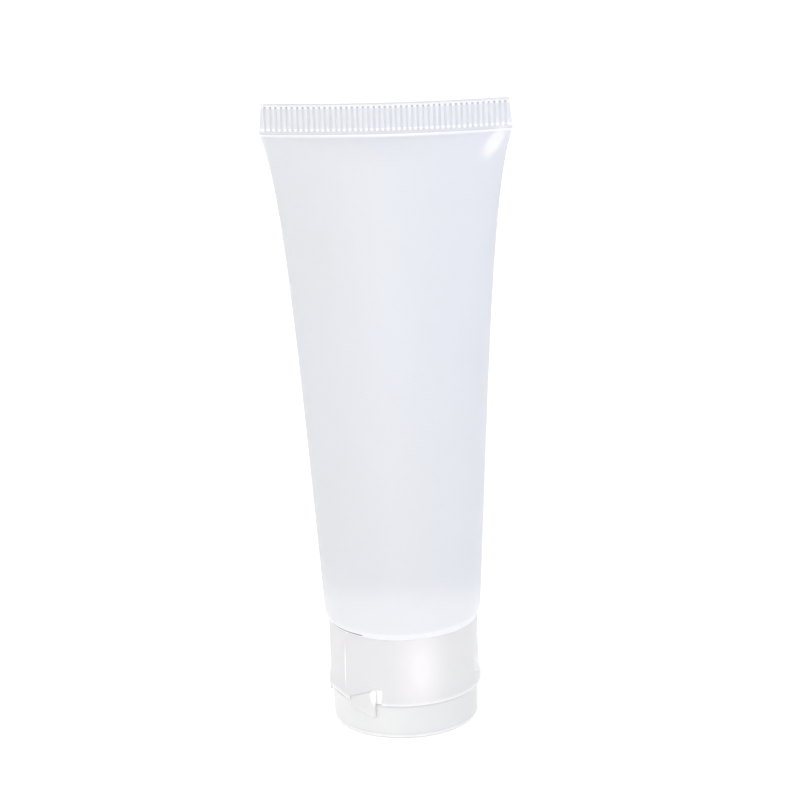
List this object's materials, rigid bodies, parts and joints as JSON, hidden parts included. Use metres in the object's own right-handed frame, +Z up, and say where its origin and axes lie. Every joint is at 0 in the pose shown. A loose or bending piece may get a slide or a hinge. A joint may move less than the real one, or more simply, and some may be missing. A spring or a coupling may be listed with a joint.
{
  "type": "soft travel bottle with a flip-top screw cap",
  "caption": "Soft squeeze bottle for toiletries: a round tube flattened into a ribbed crimp, standing on a threaded flip-top cap with a plug lid.",
  "frame": {"origin": "centre of the lid's flat outer face, on which the bottle stands", "axes": "+Z up along the tube to the crimp, X along the crimp, +Y to the back"},
  "size_m": [0.0628, 0.04, 0.1631],
  "materials": {
    "tube_plastic": "satin, milky translucent low-density polyethylene",
    "head_plastic": "satin, milky translucent polyethylene",
    "washer_foam": "matte white foam",
    "cap_plastic": "semi-gloss, frosted clear polypropylene",
    "web_plastic": "semi-gloss, frosted clear polypropylene",
    "lid_plastic": "semi-gloss, frosted clear polypropylene"
  },
  "bodies": {
    "tube": {"tube_sleeve": "tube_plastic", "tube_head": "head_plastic"},
    "washer": {"sealing_washer": "washer_foam"},
    "cap": {"cap_body": "cap_plastic", "hinge_web_front": "web_plastic", "hinge_web_back": "web_plastic"},
    "lid": {"flip_lid": "lid_plastic"}
  },
  "joints": [
    {"name": "cap_lift", "type": "slide", "parent": "tube", "child": "washer", "axis": [0, 0, -1], "range_m": [0, 0.006]},
    {"name": "cap_turn", "type": "hinge", "parent": "washer", "child": "cap", "pos_m": [0, 0, 0.0122], "axis": [0, 0, -1], "range_deg": [0, 720]},
    {"name": "lid_flip", "type": "hinge", "parent": "cap", "child": "lid", "pos_m": [-0.01744, -0.0085, 0.0091], "axis": [-0.4384, 0.8988, 0], "range_deg": [0, 160], "deforming": ["hinge_web_front", "hinge_web_back"]}
  ],
  "couplings": [
    {"joint": "cap_lift", "follows": "cap_turn", "m_per_rad": 0.0004774}
  ]
}
